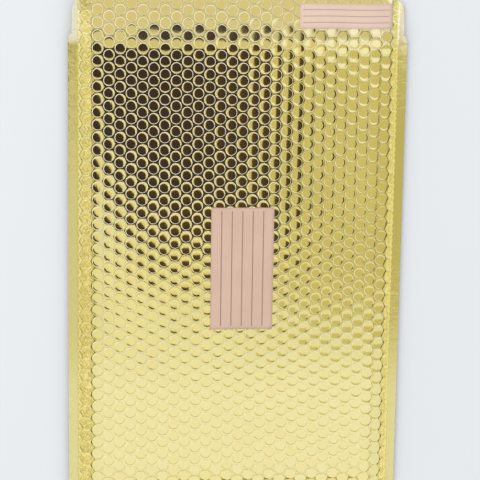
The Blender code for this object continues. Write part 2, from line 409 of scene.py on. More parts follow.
@dataclass
class Film:
    """Outer film of one panel: its surfaces, and how full and how level its bubbles are."""

    form: PocketForm
    lattice: BubbleLattice
    profile: BubbleProfile
    side: Side
    seed: int
    tilt: float = 0.004
    column_tilt: float = 0.003
    level: float = 0.04
    level_lead: float = 2 * MILLIMETRE
    level_over: float = 6 * MILLIMETRE
    strip_lean: ClosingStripLean = ClosingStripLean()
    weld_slope: float = 0.05
    crease_slope: float = 0.035
    crease_lead: float = 5 * MILLIMETRE
    crease_over: float = 3 * MILLIMETRE
    steepest_across: float = 0.42
    steepest_along: float = 0.14
    slope_sample: float = 0.4 * MILLIMETRE
    taut: float = 0.9
    taut_from: float = 0.0083
    taut_over: float = 0.0017
    crush: float = 0.003
    crush_columns: float = 0.8
    crushed_share: float = 0.05
    least_share: float = 0.06
    flap_flattening: float = 0.85
    flap_flat_from: float = 0.2

    @property
    def with_flap(self) -> bool:
        """Whether this panel carries the flap."""
        return self.side is Side.FRONT

    @property
    def top_end(self) -> float:
        """Upper end of the panel."""
        return self.form.edge_y if self.with_flap else self.form.mouth_y

    def envelope(self, x: Array, y: Array) -> Array:
        """Surface over the tops of the bubbles, facing up for the front and down for the back."""
        top = self.form.front_top if self.with_flap else self.form.back_top
        return top(x, y)

    def inner(self, x: Array, y: Array) -> Array:
        """Inner face of the sheet, which meets the other sheet on the welds.

        Args:
            x: places across the width.
            y: places along the length.
        Returns:
            The outer face less the sheet's thickness, which grows from half a weld to the full
            sheet past the shoulders, and on the flap is the full sheet everywhere.
        """
        form = self.form
        full = form.across(x) * quarter_round((y - form.fold_y) / form.fold_nose)
        if not self.with_flap:
            return self.envelope(x, y) + form.half_weld + (form.back_sheet - form.half_weld) * full
        pocket = form.half_weld + (form.land - form.half_weld) * full
        on_flap = smooth((y - form.mouth_y) / form.pitch)
        return form.front_land(x, y) - pocket - (form.land - pocket) * on_flap

    def rise(self, x: Array, y: Array) -> Array:
        """Rise of each bubble over its land, less on the flap and almost none on a weld.

        Args:
            x: bubble middles across the width.
            y: bubble middles along the length.
        Returns:
            Array of heights.
        """
        share = self.form.fullness(x, y)
        inwards = self.form.seal_x - self.crush - np.abs(x)
        beside = smooth(inwards / (self.crush_columns * self.form.column))
        share = np.minimum(share, np.maximum(beside, self.crushed_share))
        if self.with_flap:
            past = self.form.flap_share(y) - self.flap_flat_from
            share = share * (1.0 - self.flap_flattening * smooth(past / (1.0 - self.flap_flat_from)))
        return self.profile.full_rise * np.maximum(share, self.least_share)

    def lean_back(self, x: Array, y: Array) -> Array:
        """Slope along the length that the closing strip gives to each bubble of the front.

        Args:
            x: bubble middles across the width.
            y: bubble middles along the length.
        Returns:
            Array of slopes, all 0 on the back.
        """
        if not self.with_flap:
            return np.zeros_like(y)
        return self.strip_lean.slope(x, y - self.form.mouth_y)

    def levelled(self, y: Array, rise: Array) -> Array:
        """How far a bubble's dish stays level on a slope: not on the flap, nor where crushed.

        Args:
            y: bubble middles along the length.
            rise: rise of each bubble.
        Returns:
            Shares from 0 to 1.
        """
        on_pocket = 1.0 - smooth((y - self.form.mouth_y + self.level_lead) / self.level_over)
        return (1.0 - self.level) * on_pocket * np.clip(rise / self.profile.full_rise, 0.0, 1.0)

    def clamp(self, x: Array, y: Array) -> tuple[Array, Array]:
        """Points moved onto the panel's outline where they lie outside it.

        Args:
            x: places across the width.
            y: places along the length.
        Returns:
            The new x and y.
        """
        inside_y = np.clip(y, self.form.fold_y, self.top_end)
        half = self.form.half_span(inside_y, self.with_flap)
        return np.clip(x, -half, half), inside_y

    def gradient(self, x: Array, y: Array) -> tuple[Array, Array]:
        """Slope of the envelope surface, by central differences and kept from its extremes.

        The film is taut past the bubbles next to a weld, the flap's crease is sharper than its
        height field, and the welds fall off outwards.

        Args:
            x: places across the width.
            y: places along the length.
        Returns:
            Slope across and slope along.
        """
        step = self.slope_sample
        along_x = (self.envelope(x + step, y) - self.envelope(x - step, y)) / (2 * step)
        along_y = (self.envelope(x, y + step) - self.envelope(x, y - step)) / (2 * step)
        on_weld = smooth((np.abs(x) - self.form.seal_x) / MILLIMETRE)
        along_x = np.clip(along_x, -self.steepest_across, self.steepest_across)
        past_crushed = self.form.seal_x - self.taut_from - np.abs(x - self.lattice.shift_x)
        along_x = along_x * (1.0 - self.taut * smooth(past_crushed / self.taut_over))
        along_x = along_x - self.side.value * self.weld_slope * np.sign(x) * on_weld
        shallow = np.clip(along_y, -self.steepest_along, self.steepest_along)
        along_y = np.where(y < self.form.fold_y + self.form.fold_nose, along_y, shallow)
        if self.with_flap:
            past_crease = y - self.form.mouth_y + self.crease_lead
            along_y = along_y - self.crease_slope * smooth(past_crease / self.crease_over)
        return along_x, along_y


@dataclass
class BubbleCells:
    """Vertices of every bubble cell, one row a cell: its middle, its rings and its border."""

    points: Array
    normals: Array
    chance: Array
    uphill: Array
    outward: Array


@dataclass
class ShellMesh:
    """Closed sheet: the bubble film outside, a plain lining inside and a wall between."""

    name: str
    film: Film
    lining_step: float = 0.0065
    grain: float = 0.01 * MILLIMETRE
    lining_tolerance: float = 1e-7

    def middles(self) -> tuple[Array, Array]:
        """Places of the bubbles that touch the panel.

        Returns:
            Whole-number places, and the same in metres.
        """
        film = self.film
        lattice = film.lattice
        steps = lattice.centres(film.form.half_width, film.form.fold_y, film.top_end)
        middle = lattice.place(steps)
        inside_x, inside_y = film.clamp(middle[:, 0], middle[:, 1])
        margin = np.hypot(middle[:, 0] - inside_x, middle[:, 1] - inside_y)
        keep = margin < lattice.pitch
        return steps[keep], middle[keep]

    def leans(self, rng: np.random.Generator, steps: Array, middle: Array) -> Array:
        """Slope of each bubble's own: chance, the closing strip, and a lean of its column.

        Args:
            rng: source of the random numbers.
            steps: whole-number places of the bubbles.
            middle: the same in metres.
        Returns:
            Array of slopes across and along.
        """
        film = self.film
        lean = rng.normal(0.0, film.tilt, (len(steps), 2))
        lean[:, 1] += film.lean_back(middle[:, 0], middle[:, 1])
        columns = film.lattice.column_numbers(steps)
        lean[:, 0] += rng.normal(0.0, film.column_tilt, columns.max() + 1)[columns]
        return lean

    def cells(self) -> BubbleCells:
        """Vertices of every bubble cell, with the normals that its formula gives.

        A ring's height is the envelope surface less the profile's drop, and its normal stands on
        the sum of the surface's slope, the profile's radial slope and the bubble's own lean.

        Returns:
            The cells as whole arrays.
        """
        film = self.film
        profile = film.profile
        steps, middle = self.middles()
        angle = np.arange(profile.segments) * (2 * math.pi / profile.segments)
        circle = np.stack([np.cos(angle), np.sin(angle)], axis=1)
        radii = profile.radii()
        rings = (radii[1:, None, None] * circle[None]).reshape(-1, 2)
        inner = middle[:, None, :] + np.concatenate([np.zeros((1, 2)), rings])[None]
        border = film.lattice.place(steps[:, None, :] + film.lattice.border()[None])
        flat = np.concatenate([inner, border], axis=1)
        x, y = film.clamp(flat[..., 0], flat[..., 1])
        ring_of = np.concatenate([[0], np.repeat(np.arange(1, len(radii) + 1), profile.segments)])
        spin = np.concatenate([[0.0], np.tile(angle, len(radii))])
        rise = film.rise(middle[:, 0], middle[:, 1])
        drop = profile.drops(rise)[:, ring_of]
        radial = profile.slopes(rise)[:, ring_of]
        rng = np.random.default_rng(film.seed)
        lean = self.leans(rng, steps, middle)
        held = np.where(ring_of < len(radii), 1.0, 0.0)
        slope_x, slope_y = film.gradient(x, y)
        sign = film.side.value
        levelled = film.levelled(middle[:, 1], rise)[:, None]
        stepped = 1.0 - levelled * (ring_of <= profile.level_rings)
        rise_x = sign * slope_x * stepped + radial * np.cos(spin) + lean[:, :1] * held
        rise_y = sign * slope_y * stepped + radial * np.sin(spin) + lean[:, 1:] * held
        size = np.sqrt(rise_x ** 2 + rise_y ** 2 + 1.0)
        top = film.envelope(x, y)
        top = top[:, :1] + (top - top[:, :1]) * stepped
        return BubbleCells(
            points=np.stack([x, y, top - sign * drop], axis=-1),
            normals=np.stack([-rise_x / size, -rise_y / size, sign / size], axis=-1),
            chance=np.repeat(rng.random(len(steps))[:, None], x.shape[1], axis=1),
            uphill=np.repeat(np.sin(spin)[None], len(steps), axis=0),
            outward=np.repeat((ring_of / len(radii))[None], len(steps), axis=0),
        )

    def cell_faces(self, count: int) -> tuple[Array, Array]:
        """Faces of every cell: a fan in the middle and a band of quads between rings.

        Args:
            count: number of cells.
        Returns:
            Array of triangles and array of quads, as vertex numbers.
        """
        segments = self.film.profile.segments
        rings = len(self.film.profile.radii())
        turn = np.arange(segments)
        after = (turn + 1) % segments
        fan = np.stack([np.zeros(segments, int), 1 + turn, 1 + after], axis=1)
        low = 1 + segments * np.arange(rings - 1)[:, None]
        high = low + segments
        bands = np.stack([low + turn, high + turn, high + after, low + after], axis=-1)
        base = (np.arange(count) * (1 + segments * rings))[:, None, None]
        quads = bands.reshape(-1, 4)[None] + base
        return (fan[None] + base).reshape(-1, 3), quads.reshape(-1, 4)

    def merged(self, points: Array, groups: tuple[Array, ...]) -> tuple[Array, list[list[int]]]:
        """Vertices at the same place become one, and faces without area go.

        Args:
            points: positions of the vertices.
            groups: arrays of faces, each with its own number of corners.
        Returns:
            The numbers of the kept vertices, and the faces in new numbers and their old order.
        """
        places = np.round(points / self.grain).astype(np.int64)
        _, first, back = np.unique(places, axis=0, return_index=True, return_inverse=True)
        back = back.ravel()
        faces = []
        for group in groups:
            corners = back[group]
            distinct = corners != np.roll(corners, 1, axis=1)
            whole = distinct.sum(axis=1) >= 3
            kept = distinct[whole]
            rings = np.split(corners[whole][kept], kept.sum(axis=1).cumsum()[:-1])
            faces.extend(ring.tolist() for ring in rings)
        return first, faces

    @staticmethod
    def outline_loop(faces: list[list[int]]) -> Array:
        """Vertices of the open border, in order.

        Args:
            faces: vertex numbers of each face.
        Returns:
            Vertex numbers along the longest border loop.
        """
        starts = np.array([vertex for face in faces for vertex in (face[-1], *face[:-1])])
        ends = np.array([vertex for face in faces for vertex in face])
        count = ends.max() + 1
        on_border = ~np.isin(starts * count + ends, ends * count + starts)
        follows = dict(zip(starts[on_border].tolist(), ends[on_border].tolist()))
        loops = []
        while follows:
            start, here = follows.popitem()
            loop = [start]
            while here != start and here in follows:
                loop.append(here)
                here = follows.pop(here)
            loops.append(loop)
        return np.array(max(loops, key=len))

    def lining(self, outline: Array) -> tuple[Array, Array]:
        """Plain inner face over the same outline, as flat points and triangles.

        Args:
            outline: the border's x and y.
        Returns:
            Array of points, border first, and array of triangles that face up.
        """
        form = self.film.form
        step = self.lining_step
        xs = np.arange(-form.half_width + step, form.half_width, step)
        ys = np.arange(form.fold_y + step / 2, self.film.top_end, step)
        grid_x, grid_y = (part.ravel() for part in np.meshgrid(xs, ys))
        half = form.half_span(grid_y, self.film.with_flap) - step / 3
        keep = (np.abs(grid_x) < half) & (grid_y < self.film.top_end - step / 3)
        points = np.concatenate([outline, np.stack([grid_x, grid_y], axis=1)[keep]])
        ring = list(range(len(outline)))
        edges = [(i, (i + 1) % len(ring)) for i in ring]
        flat = [Vector(point) for point in points]
        found = delaunay_2d_cdt(flat, edges, [ring], 1, self.lining_tolerance)
        return np.array([tuple(point) for point in found[0]]), np.array(found[2])

    @staticmethod
    def wall(loop: Array, offset: int) -> Array:
        """Quads between the film's border and the lining's.

        Args:
            loop: vertex numbers along the film's border.
            offset: number of the lining's first vertex, which starts the same border.
        Returns:
            Array of quads.
        """
        turn = np.arange(len(loop))
        before = np.roll(turn, 1)
        return np.column_stack([offset + turn, offset + before, loop[before], loop[turn]])

    def build(self, outer: bpy.types.Material, inner: bpy.types.Material) -> bpy.types.Object:
        """The whole closed sheet as an object.

        Args:
            outer: material of the bubble film.
            inner: material of the lining.
        Returns:
            The new object.
        """
        cells = self.cells()
        points = cells.points.reshape(-1, 3)
        first, skin = self.merged(points, self.cell_faces(len(cells.points)))
        points = points[first]
        loop = self.outline_loop(skin)
        flat, plain = self.lining(points[loop][:, :2])
        depth = self.film.inner(flat[:, 0], flat[:, 1])
        wall = self.wall(loop, len(points))
        faces = skin + wall.tolist() + (len(points) + plain[:, ::-1]).tolist()
        if self.film.side is Side.BACK:
            faces = [face[::-1] for face in faces]
        mesh = bpy.data.meshes.new(self.name)
        corners = np.concatenate([points, np.column_stack([flat, depth])])
        mesh.from_pydata(corners.tolist(), [], faces)
        mesh.update()
        self.shade(mesh, cells.normals.reshape(-1, 3)[first], len(skin))
        for name, values, on_lining in (("chance", cells.chance, 0.0),
                                        ("outward", cells.outward, 1.0),
                                        ("uphill", cells.uphill, 0.0)):
            padding = np.full(len(flat), on_lining)
            add_attribute(mesh, name, np.concatenate([values.ravel()[first], padding]))
        mesh.materials.append(outer)
        mesh.materials.append(inner)
        slots = np.zeros(len(mesh.polygons), dtype=np.int32)
        slots[len(skin) + len(wall):] = 1
        mesh.polygons.foreach_set("material_index", slots)
        return link(mesh)

    @staticmethod
    def shade(mesh: bpy.types.Mesh, normals: Array, skin_count: int) -> None:
        """Skin corners take the formula's normals; wall and lining keep those of their faces.

        Args:
            mesh: the mesh to shade.
            normals: the skin's vertex normals.
            skin_count: how many faces, from the first, are skin.
        """
        count = len(mesh.polygons)
        mesh.polygons.foreach_set("use_smooth", np.ones(count, dtype=bool))
        vertex = np.zeros(len(mesh.loops), dtype=np.int32)
        mesh.loops.foreach_get("vertex_index", vertex)
        totals = np.zeros(count, dtype=np.int32)
        mesh.polygons.foreach_get("loop_total", totals)
        face_normals = np.zeros(count * 3)
        mesh.polygons.foreach_get("normal", face_normals)
        of_corner = np.repeat(np.arange(count), totals)
        custom = face_normals.reshape(-1, 3)[of_corner]
        on_skin = of_corner < skin_count
        custom[on_skin] = normals[vertex[on_skin]]
        mesh.normals_split_custom_set(custom.tolist())


def add_attribute(mesh: bpy.types.Mesh, name: str, values: Array) -> None:
    """Adds a number for each vertex that the materials can read.

    Args:
        mesh: the mesh.
        name: name of the attribute.
        values: one number for each vertex.
    """
    layer = mesh.attributes.new(name, "FLOAT", "POINT")
    layer.data.foreach_set("value", np.asarray(values, dtype=np.float32))


def link(mesh: bpy.types.Mesh) -> bpy.types.Object:
    """Puts a mesh into the scene at the origin.

    Args:
        mesh: the mesh.
    Returns:
        The new object, named as the mesh.
    """
    piece = bpy.data.objects.new(mesh.name, mesh)
    bpy.context.scene.collection.objects.link(piece)
    return piece


@dataclass(frozen=True)
class Raised:
    """Surface that runs at a height over another one, or below it where that is negative."""

    surface: Surface
    height: float

    def __call__(self, x: Array, y: Array) -> Array:
        """The other surface's height, and this one's on top."""
        return self.surface(x, y) + self.height


@dataclass
class Strip:
    """Closed flat strip that follows a surface: a label, the glue or its liner."""

    name: str
    low: Place
    high: Place
    step: float = 0.004

    def build(self, top: Surface, bottom: Surface, material: bpy.types.Material) -> bpy.types.Object:
        """The strip as an object: a grid on each surface and a wall round both.

        Args:
            top: height of its upper face.
            bottom: height of its lower face.
            material: its material.
        Returns:
            The new object.
        """
        columns = max(2, round((self.high[0] - self.low[0]) / self.step) + 1)
        rows = max(2, round((self.high[1] - self.low[1]) / self.step) + 1)
        grid_x, grid_y = np.meshgrid(np.linspace(self.low[0], self.high[0], columns),
                                     np.linspace(self.low[1], self.high[1], rows))
        x, y = grid_x.ravel(), grid_y.ravel()
        count = len(x)
        points = np.concatenate([np.column_stack([x, y, surface(x, y)])
                                 for surface in (top, bottom)])
        grid = np.arange(count).reshape(rows, columns)
        quads = np.stack([grid[:-1, :-1], grid[:-1, 1:], grid[1:, 1:], grid[1:, :-1]], -1)
        quads = quads.reshape(-1, 4)
        ring = np.concatenate([grid[0, :-1], grid[:-1, -1], grid[-1, :0:-1], grid[:0:-1, 0]])
        after = np.roll(ring, -1)
        wall = np.stack([ring, ring + count, after + count, after], axis=1)
        faces = np.concatenate([quads, quads[:, ::-1] + count, wall])
        mesh = bpy.data.meshes.new(self.name)
        mesh.from_pydata(points.tolist(), [], faces.tolist())
        mesh.update()
        mesh.polygons.foreach_set("use_smooth", np.arange(len(faces)) < 2 * len(quads))
        mesh.materials.append(material)
        return link(mesh)


class Signal:
    """A socket of a material that arithmetic can be done on."""

    def __init__(self, graph: "Graph", socket: bpy.types.NodeSocket) -> None:
        """Wraps an output socket of a graph."""
        self.graph = graph
        self.socket = socket

    def _math(self, operation: str, *values: "Signal | float") -> "Signal":
        """Adds a Math node on the given values, and gives its result."""
        return self.graph.node("ShaderNodeMath", dict(enumerate(values)), operation=operation)

    def __add__(self, other: "Signal | float") -> "Signal":
        """Sum."""
        return self._math("ADD", self, other)

    __radd__ = __add__

    def __sub__(self, other: "Signal | float") -> "Signal":
        """This less another value."""
        return self._math("SUBTRACT", self, other)

    def __rsub__(self, other: "Signal | float") -> "Signal":
        """Another value less this."""
        return self._math("SUBTRACT", other, self)

    def __mul__(self, other: "Signal | float") -> "Signal":
        """Product."""
        return self._math("MULTIPLY", self, other)

    __rmul__ = __mul__

    def __truediv__(self, other: "Signal | float") -> "Signal":
        """This over another value."""
        return self._math("DIVIDE", self, other)

    def __rtruediv__(self, other: "Signal | float") -> "Signal":
        """Another value over this."""
        return self._math("DIVIDE", other, self)

    def absolute(self) -> "Signal":
        """Distance from zero."""
        return self._math("ABSOLUTE", self)

    def at_most(self, other: "Signal | float") -> "Signal":
        """The smaller of this and another value."""
        return self._math("MINIMUM", self, other)

    def at_least(self, other: "Signal | float") -> "Signal":
        """The larger of this and another value."""
        return self._math("MAXIMUM", self, other)

    def sine(self) -> "Signal":
        """Sine of this value in radians."""
        return self._math("SINE", self)

    def wrapped(self, high: float, low: float) -> "Signal":
        """This value brought into a repeating span."""
        return self._math("WRAP", self, high, low)

    def step(self, low: float, high: float, start: float = 0.0, end: float = 1.0) -> "Signal":
        """Smooth step of this value.

        Args:
            low: value where the step starts.
            high: value where it ends.
            start: result before the step.
            end: result after it.
        Returns:
            The stepped value.
        """
        inputs = {"Value": self, "From Min": low, "From Max": high, "To Min": start, "To Max": end}
        return self.graph.node("ShaderNodeMapRange", inputs, "Result",
                               interpolation_type="SMOOTHSTEP")

    def rises(self, span: Span) -> "Signal":
        """Smooth step from 0 to 1 over a span of this value."""
        return self.step(*span)

    def falls(self, span: Span) -> "Signal":
        """Smooth step from 1 to 0 over a span of this value."""
        return self.step(*span, 1.0, 0.0)


Value = Signal | float | Colour


class Graph:
    """Node graph of one material."""

    def __init__(self, name: str) -> None:
        """Starts a material of a given name, with its Principled shader only."""
        self.material = bpy.data.materials.new(name)
        self.material.use_nodes = True
        self.tree = self.material.node_tree
        self.shader = self.tree.nodes["Principled BSDF"]
        self.position = self.node("ShaderNodeTexCoord", output="Object")

    def node(self, kind: str, inputs: dict[str | int, Value] | None = None,
             output: str | int = 0, **settings: str | bool) -> Signal:
        """Adds any node.

        Args:
            kind: the node's type.
            inputs: values, signals or colours by socket name or number.
            output: name or number of the wanted output.
            settings: properties of the node.
        Returns:
            The wanted output as a signal.
        """
        made = self.tree.nodes.new(kind)
        for key, value in settings.items():
            setattr(made, key, value)
        for key, value in (inputs or {}).items():
            self.feed(made.inputs[key], value)
        return Signal(self, made.outputs[output])

    def feed(self, socket: bpy.types.NodeSocket, value: Value) -> None:
        """Sets a socket to a value, or links a signal to it.

        Args:
            socket: an input socket.
            value: a signal, number, colour or vector.
        """
        if isinstance(value, Signal):
            self.tree.links.new(value.socket, socket)
        elif isinstance(value, tuple) and socket.type == "RGBA":
            socket.default_value = (*value[:3], 1.0)
        else:
            socket.default_value = value

    def place(self) -> list[Signal]:
        """Position on the object as three signals, in metres."""
        split = self.node("ShaderNodeSeparateXYZ", {"Vector": self.position})
        return [Signal(self, part) for part in split.socket.node.outputs]

    def attribute(self, name: str) -> Signal:
        """A number stored on the mesh."""
        return self.node("ShaderNodeAttribute", output="Fac", attribute_name=name)

    def stretched(self, scale: Colour) -> Signal:
        """The object position with each axis scaled."""
        return self.node("ShaderNodeVectorMath", {0: self.position, 1: scale}, operation="MULTIPLY")

    def noise(self, scale: float, detail: float = 2.0, vector: Signal | None = None,
              distortion: float = 0.0) -> Signal:
        """Noise of a given scale, about 0.5 on average.

        Args:
            scale: how many features there are in a metre.
            detail: number of octaves.
            vector: the coordinates, or the object position where none are given.
            distortion: how much the features are bent.
        Returns:
            The noise as a signal.
        """
        inputs = {"Vector": vector or self.position, "Scale": scale, "Detail": detail,
                  "Distortion": distortion}
        return self.node("ShaderNodeTexNoise", inputs, "Fac")

    def blend(self, factor: Signal, first: Signal | Colour, second: Signal | Colour) -> Signal:
        """Mix of two colours."""
        inputs = {0: factor, 6: first, 7: second}
        return self.node("ShaderNodeMix", inputs, 2, data_type="RGBA")

    def bump(self, height: Signal, strength: float, distance: float) -> Signal:
        """Normal bent by a height.

        Args:
            height: signal, in units of the distance.
            strength: how much of the bend is used.
            distance: height in metres of a value of 1.
        Returns:
            The bent normal.
        """
        inputs = {"Strength": strength, "Distance": distance, "Height": height}
        return self.node("ShaderNodeBump", inputs, "Normal")

    def set(self, **values: Value) -> bpy.types.Material:
        """Sets the shader's sockets, with spaces in names written as underscores.

        Args:
            values: what each socket is set to.
        Returns:
            The finished material.
        """
        for key, value in values.items():
            self.feed(self.shader.inputs[key.replace("_", " ")], value)
        return self.material


@dataclass(frozen=True)
class FilmZones:
    """Where a place on the film is, each a share from 0 to 1."""

    on_flap: Signal
    on_weld: Signal
    on_shoulder: Signal
    low_end: Signal
    in_middle: Signal
    crushed: Signal


@dataclass(frozen=True)
class GoldFilm:
    """Metallised film: the body's gold, a flap and lower end made paler by painted sheen, duller
    welds, and painted shade and highlights on the bubbles.

    Spans across the width are measured from the middle, and those along it from the origin,
    apart from the flap's, which starts from the mouth, and the crushed column's, which starts
    from the weld's edge. Spans of a bubble are shares of the way out from its middle.
    """

    form: PocketForm
    lattice: BubbleLattice
    gold: Colour = (0.82, 0.71, 0.23)
    pale: Colour = (0.83, 0.74, 0.34)
    dull_and_shade: Colour = (0.62, 0.53, 0.15)
    highlight_cream: Colour = (0.95, 0.90, 0.64)
    warm: Colour = (0.88, 0.66, 0.17)
    shade: Colour = (0.50, 0.42, 0.10)
    sheen_straw: Colour = (0.865, 0.765, 0.285)
    mottle: float = 0.94
    roughness: float = 0.045
    flap_span: Span = (-0.004, 0.010)
    weld_blur: float = 0.002
    shoulder_span: Span = (0.126, 0.146)
    low_span: Span = (-0.14, -0.07)
    middle_span: Span = (0.02, 0.06)
    upper_span: Span = (-0.02, 0.04)
    crushed_span: Span = (-0.0095, -0.0080)
    light_turn: Span = (-0.09, -0.03)
    disc_span: Span = (0.40, 0.45)
    dent_span: Span = (0.25, 0.38)
    rim_at: float = 0.6
    rim_span: Span = (0.12, 0.20)
    outline_inner: Span = (0.73, 0.77)
    outline_outer: Span = (0.82, 0.88)
    curl_span: Span = (0.62, 0.42)
    dented_chance: Span = (0.90, 0.96)
    bump_strength: float = 0.55
    bump_height: float = 0.25 * MILLIMETRE

    def zones(self, graph: Graph) -> FilmZones:
        """The zones of the film, from the position on the object.

        Args:
            graph: the material's graph.
        Returns:
            The zones.
        """
        x, y, _ = graph.place()
        form = self.form
        on_weld = x.absolute().rises((form.seal_x - self.weld_blur, form.seal_x + self.weld_blur))
        from_middle = (x - self.lattice.shift_x).absolute()
        beside = from_middle.rises(tuple(form.seal_x + end for end in self.crushed_span))
        return FilmZones(
            on_flap=y.rises(tuple(form.mouth_y + end for end in self.flap_span)),
            on_weld=on_weld,
            on_shoulder=x.absolute().rises(self.shoulder_span),
            low_end=y.falls(self.low_span),
            in_middle=x.falls(self.middle_span) * y.rises(self.upper_span),
            crushed=beside * (1.0 - on_weld),
        )

    def body(self, graph: Graph, zones: FilmZones, fine: Signal, drift: Signal) -> Signal:
        """Colour of the film without its bubbles: painted sheen on the flap and lower end, painted
        shade on the shoulders, duller welds, and a painted highlight on the flap's welds.

        Args:
            graph: the material's graph.
            zones: where the place is.
            fine: fine noise.
            drift: broad noise.
        Returns:
            The colour.
        """
        body = graph.blend(drift.rises((0.35, 0.65)), self.gold, shaded(self.gold, self.mottle))
        # Painted sheen: the lower end is blended to a paler straw gold.
        body = graph.blend(zones.low_end, body, self.sheen_straw)
        # Painted shade on the sloping shoulders; the welds are duller, less so at the paler lower end.
        dullness_and_shade = zones.on_shoulder * 0.3 + zones.on_weld * (0.42 - zones.low_end * 0.32)
        body = graph.blend(dullness_and_shade, body, self.dull_and_shade)
        # Painted sheen: the flap is made paler than the body.
        body = graph.blend(zones.on_flap * 0.8, body, self.pale)
        # Painted highlight: cream streaks of glare on the flap's welds.
        return graph.blend(zones.on_flap * zones.on_weld * (fine * 0.6 + 0.4), body, self.highlight_cream)

    def bubbled(self, graph: Graph, zones: FilmZones, body: Signal, curls: Signal) -> Signal:
        """Colour of the film with its bubbles: warmer discs at random, painted shade in the outlines
        and the crumpled column, and painted highlights and shade on the rims.

        Args:
            graph: the material's graph.
            zones: where the place is.
            body: colour of the film.
            curls: noise of the crumpled column.
        Returns:
            The colour.
        """
        _, y, _ = graph.place()
        outward = graph.attribute("outward")
        uphill = graph.attribute("uphill")
        off_weld = 1.0 - zones.on_weld
        # Painted shade: dark patches in the creases of the crumpled column.
        body = graph.blend(zones.crushed * curls.rises(self.curl_span) * 0.7, body, self.shade)
        on_disc = outward.falls(self.disc_span) * off_weld
        body = graph.blend(graph.attribute("chance") * on_disc * 0.22, body, self.warm)
        # Painted shade: dark rings at the bubbles' feet, at the lower end only on each bubble's lower
        # side.
        on_outline = outward.rises(self.outline_inner) * outward.falls(self.outline_outer) * off_weld
        outline_shade = (1.0 - zones.low_end * (uphill * 0.6 + 0.6)).at_least(0.0)
        body = graph.blend(on_outline * outline_shade * 0.85, body, self.shade)
        on_rim = (outward - self.rim_at).absolute().falls(self.rim_span) * off_weld
        # Painted light on the rims: lit is positive on the side towards the light; the other side gets
        # painted shade, darker still at the lower end.
        lit = uphill * y.step(*self.light_turn, 1.0, -1.0) * (1.0 - zones.in_middle)
        body = graph.blend(on_rim * (lit * -0.7).at_least(0.0), body, self.dull_and_shade)
        body = graph.blend(on_rim * zones.low_end * (lit * -0.75).at_least(0.0), body, self.shade)
        # Painted highlight: cream rims, brighter on the side towards the light and even in the dark
        # middle zone, fainter on the crushed column and at the lower end.
        rim = zones.in_middle * 0.5 + 0.4 + lit * 0.6
        rim = rim * (1.0 - zones.crushed * 0.5) * (1.0 - zones.low_end * 0.65)
        return graph.blend(on_rim * rim.at_least(0.0), body, self.highlight_cream)

    def relief(self, graph: Graph, zones: FilmZones, fine: Signal, curls: Signal) -> Signal:
        """Normal bent by dents, ripples and the crumpled column.

        Args:
            graph: the material's graph.
            zones: where the place is.
            fine: fine noise.
            curls: noise of the crumpled column.
        Returns:
            The normal.
        """
        ripple = graph.noise(60.0, 3.0, graph.stretched((1.0, 2.2, 1.0)), 0.8)
        in_dish = graph.attribute("outward").falls(self.dent_span)
        dented = graph.attribute("chance").rises(self.dented_chance) * in_dish
        crinkle = (fine * (zones.on_weld * 0.2 + dented * 0.25 + 0.004)
                   + ripple * (0.03 + zones.on_weld * 1.6 + zones.on_flap * 0.2)
                   + curls * zones.crushed * 5.0)
        return graph.bump(crinkle, self.bump_strength, self.bump_height)

    def build(self) -> bpy.types.Material:
        """The material: a metal in the film's colours, bent by its crinkles.

        Returns:
            The finished material.
        """
        graph = Graph("gold_film")
        zones = self.zones(graph)
        drift = graph.noise(14.0, 3.0)
        fine = graph.noise(420.0, 4.0, graph.stretched((1.0, 0.35, 1.0)))
        curls = graph.noise(240.0, 2.0, graph.stretched((0.8, 1.3, 1.0)), 1.5)
        body = self.body(graph, zones, fine, drift)
        colour = self.bubbled(graph, zones, body, curls)
        rough = drift * 0.02 + self.roughness + zones.on_weld * 0.10 + zones.on_flap * 0.05
        return graph.set(Base_Color=colour, Metallic=1.0, Roughness=rough,
                         Normal=self.relief(graph, zones, fine, curls))


@dataclass(frozen=True)
class Lining:
    """Inner face of the bubble film, a duller gold with the bubbles' backs pressed through."""

    form: PocketForm
    lattice: BubbleLattice
    colour: Colour = (0.66, 0.60, 0.34)
    bump_strength: float = 0.4
    bump_height: float = 0.3 * MILLIMETRE

    def build(self) -> bpy.types.Material:
        """The material: the product of a wave along and a wave across is the pressed pattern.

        Returns:
            The finished material.
        """
        graph = Graph("lining_film")
        x, y, _ = graph.place()
        turn = 2 * math.pi
        along = (y - self.lattice.shift_y) * (turn / self.lattice.pitch)
        over = (x - self.lattice.shift_x) * (turn / (2 * self.lattice.column))
        pattern = (along + turn / 4).sine() * (over + turn / 4).sine()
        fine = graph.noise(300.0, 3.0)
        normal = graph.bump(pattern + fine * 0.4, self.bump_strength, self.bump_height)
        tone = graph.blend(fine, self.colour, shaded(self.colour, 0.88))
        return graph.set(Base_Color=tone, Metallic=0.85, Roughness=fine * 0.1 + 0.28, Normal=normal)


